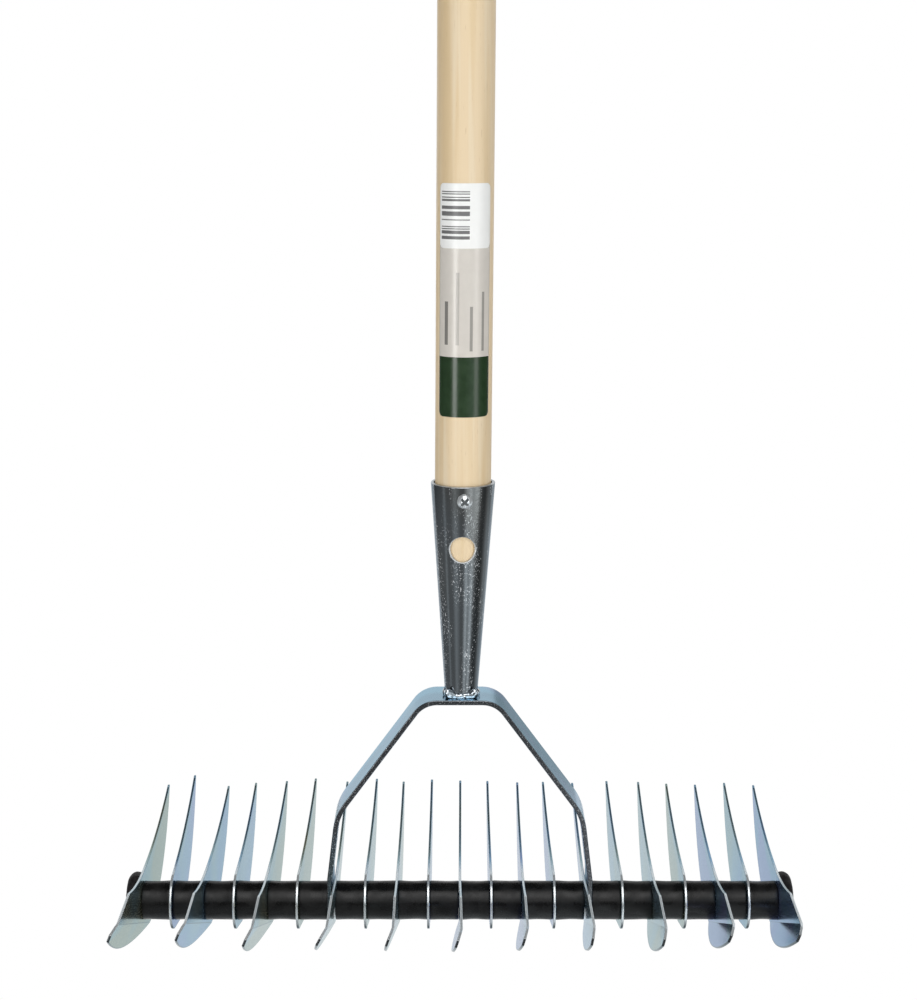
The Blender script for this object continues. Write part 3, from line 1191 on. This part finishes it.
tent = {"radius": 1.6, "top": 1.5, "wallTop": -0.8, "openAngle": math.radians(131), "underRadius": 0.4,
        "sides": 180, "clothRings": 9, "wallRings": 5, "clothLift": 2 * mm, "clothGlow": 5.4,
        "wallGlow": 1.55, "glowRise": (0.01, 0.15), "upperFade": 0.35, "upperGlow": 0.4,
        "bandDrift": math.radians(13), "bandLift": 0.6,
        "driftFrom": (1.36, 1.48), "driftStart": inRadians(4, 30), "driftEnd": inRadians(66, 105),
        "sideStart": inRadians(50, 62), "sideRing": (0.84, 0.94)}
# Cloths of the tent round the rake: four plain tones, and the degrees from the front, positive to the right,
# where each is at its fullest
clothTones = {"black": tone(40, 42, 43), "dark": tone(68, 70, 71), "grey": tone(98, 102, 104),
              "pale": tone(140, 145, 147)}
tentCloths = [(-131, "dark"), (-84, "dark"), (-74, "grey"), (-66, "dark"), (-46, "dark"), (-30, "grey"),
              (-8, "dark"), (4, "dark"), (18, "pale"), (28, "grey"), (44, "pale"), (56, "dark"),
              (68, "black"), (88, "black"), (100, "dark"), (114, "grey"), (131, "grey")]


# Dark tent for reflections: cloth on the floor, a round wall and a roof, open at the back; its tone goes by
# the angle round the rake, and the cloth on the floor glows more than the wall and the roof
def makeTent():
    material, tree, glow, _, place = startGlow("tentCloth")
    angle = calc(tree, "ARCTAN2", place["X"], times(tree, place["Y"], -1.0))
    distance = distanceOf(tree, place["X"], place["Y"])
    # The pale bands on the right drift further right with the distance, and get brighter
    drift = times(tree, spread(tree, angle, *tent["driftStart"]),
                  spread(tree, angle, *tent["driftEnd"], 1.0, 0.0),
                  spread(tree, distance, *tent["driftFrom"]))
    bent = calc(tree, "SUBTRACT", angle, times(tree, drift, tent["bandDrift"]))
    share = addNode(tree, "ShaderNodeMapRange", Value=bent, From_Min=-math.pi, From_Max=math.pi)
    tones = [(degrees / 360 + 0.5, clothTones[cloth]) for degrees, cloth in tentCloths]
    colour = pickTone(tree, share.outputs["Result"], tones)
    # Grey at the sides, inside the ring that the socket mirrors
    sides = times(tree, spread(tree, calc(tree, "ABSOLUTE", angle), *tent["sideStart"]),
                  spread(tree, distance, *tent["sideRing"], 1.0, 0.0))
    wallTop = tent["wallTop"]
    upper = spread(tree, place["Z"], wallTop, wallTop + tent["upperFade"], 1.0, tent["upperGlow"])
    lower = spread(tree, place["Z"], *[floorZ + rise for rise in tent["glowRise"]], tent["clothGlow"],
                   tent["wallGlow"])
    lift = calc(tree, "ADD", times(tree, drift, tent["bandLift"]), 1.0)
    feed(tree, glow, Color=mixTones(tree, sides, colour, clothTones["grey"]),
         Strength=times(tree, upper, lower, lift))
    clothZ = floorZ + tent["clothLift"]
    cloth = joinAxes(np.linspace(0, tent["radius"], tent["clothRings"]), clothZ)
    wallZ = np.concatenate([np.linspace(floorZ, wallTop, tent["wallRings"])[1:], [tent["top"]]])
    profile = np.concatenate([cloth, joinAxes(tent["radius"], wallZ), [[0, tent["top"]]]])
    cells = gridCells(len(profile), tent["sides"], closeColumns=True).reshape(-1, tent["sides"], 4)
    middle = (np.arange(tent["sides"]) + 0.5) / tent["sides"] * 2 * np.pi
    turn = np.abs((middle + np.pi) % (2 * np.pi) - np.pi)
    height, radius = profile[1:, 1:], profile[1:, :1]
    onFloor = height < clothZ + 1 * mm
    everywhere = (height > wallTop + 1 * mm) | (radius < tent["underRadius"]) & onFloor
    kept = everywhere | (turn < tent["openAngle"])
    addReflected("reflectionTent", turnAboutZ(profile, tent["sides"]), cells[kept], material)


cove = {"radius": 1.35, "halfWidth": 0.55, "glow": 3.2, "rises": (6, 78), "lowRise": inRadians(8, 18),
        "lowShare": 0.45, "middleRise": inRadians(28, 46), "topRise": inRadians(58, 78), "topShare": 0.45,
        "fadeFrom": 0.6, "rows": 40, "columns": 12}


# Bright cove in front of and above the bar for reflections: y = -r cos e, z = r sin e from the rod
def makeCove():
    material, tree, _, cover, place = startGlow("coveCloth", Strength=cove["glow"])
    height = calc(tree, "SUBTRACT", place["Z"], barZ)
    rise = calc(tree, "ARCTAN2", height, times(tree, place["Y"], -1.0))
    low = calc(tree, "ADD", spread(tree, rise, *cove["lowRise"], 0.0, cove["lowShare"]),
               spread(tree, rise, *cove["middleRise"], 0.0, 1 - cove["lowShare"]))
    high = spread(tree, rise, *cove["topRise"], 1.0, cove["topShare"])
    half = cove["halfWidth"]
    edge = spread(tree, calc(tree, "ABSOLUTE", place["X"]), half * cove["fadeFrom"], half, 1.0, 0.0)
    setInput(tree, cover, times(tree, low, high, edge))
    rises = np.radians(np.linspace(*cove["rises"], cove["rows"]))[:, None]
    across = np.linspace(-1, 1, cove["columns"])[None, :] * half
    points = roundRod(across, cove["radius"], rises)
    addReflected("brightCove", points, gridCells(cove["rows"], cove["columns"]), material)


card = {"tone": tone(182, 186, 186), "across": (0.16, 0.9), "behind": 2.0, "lift": 4 * mm, "top": 0.5,
        "lines": 4}


# Grey card behind on the right, which the right flank of the yoke mirrors
def makeCard():
    material = startGlow("greyCard", Color=card["tone"])[0]
    across = np.linspace(*card["across"], card["lines"])[None, :]
    height = np.linspace(floorZ + card["lift"], barZ + card["top"], card["lines"])[:, None]
    points = joinAxes(across, card["behind"], height)
    addReflected("backCard", points, gridCells(card["lines"], card["lines"]), material)


streak = {"radius": 1.5, "halfAngle": 8, "heights": (-1.85, -1.3), "rows": 4, "columns": 5,
          "lights": (("streakLeft", -36, 6.0), ("streakRight", 49, 2.6))}


# Narrow upright lights beside the camera, which the label's film shows as streaks; they stand round Z
def makeStreakLights():
    spreadOut = np.linspace(-streak["halfAngle"], streak["halfAngle"], streak["columns"])
    height = np.linspace(*streak["heights"], streak["rows"])[:, None]
    for name, degrees, strength in streak["lights"]:
        material = startGlow(name, Strength=strength)[0]
        points = roundZ(streak["radius"], np.radians(degrees + spreadOut)[None, :], height)
        addReflected(name, points, gridCells(streak["rows"], streak["columns"]), material)


# Soft lamps: name, place, the point that they face, width and height, watts
lamps = [("softboxLeft", (-1.3, -1.3, -0.9), (0, 0, -1.2), (0.7, 2.0), 11.524),
         ("softboxRight", (1.3, -1.3, -0.9), (0, 0, -1.2), (0.7, 2.0), 13.4),
         ("softboxFront", (0, -1.4, -1.6), (0, 0, -1.72), (1.2, 0.4), 4.8),
         ("softboxBack", (0, 1.6, -0.9), (0, 0, -1.1), (1.6, 2.0), 12.0)]


def addLamp(name, place, target, size, watts):
    data = bpy.data.lights.new(name, "AREA")
    data.shape = "RECTANGLE"
    data.size, data.size_y = size
    data.energy = watts
    lamp = bpy.data.objects.new(name, data)
    lamp.location = place
    east, north, up = np.array(target) - np.array(place)
    tilt = math.pi / 2 + math.atan2(up, math.hypot(east, north))
    lamp.rotation_euler = (tilt, 0, math.atan2(-east, north))
    lamp.visible_camera = False
    lamp.visible_glossy = False
    scene.collection.objects.link(lamp)


makeWorld()
makeFloor()
makeTent()
makeCove()
makeCard()
makeStreakLights()
for lampSettings in lamps:
    addLamp(*lampSettings)
print("studio set")

# Camera

# Fitted view: the rod lies near the bottom of the frame, seen from a little above
view = {"place": (-0.00066, -0.9779, -1.3237), "tilt": math.radians(78.4), "lens": 72.0, "sensor": 36.0,
        "clipEnd": 60.0}
lensData = bpy.data.cameras.new("frontCamera")
lensData.sensor_fit = "VERTICAL"
lensData.sensor_height = view["sensor"]
lensData.lens = view["lens"]
lensData.clip_end = view["clipEnd"]
camera = bpy.data.objects.new("frontCamera", lensData)
camera.location = view["place"]
camera.rotation_euler = (view["tilt"], 0, 0)
scene.collection.objects.link(camera)
scene.camera = camera
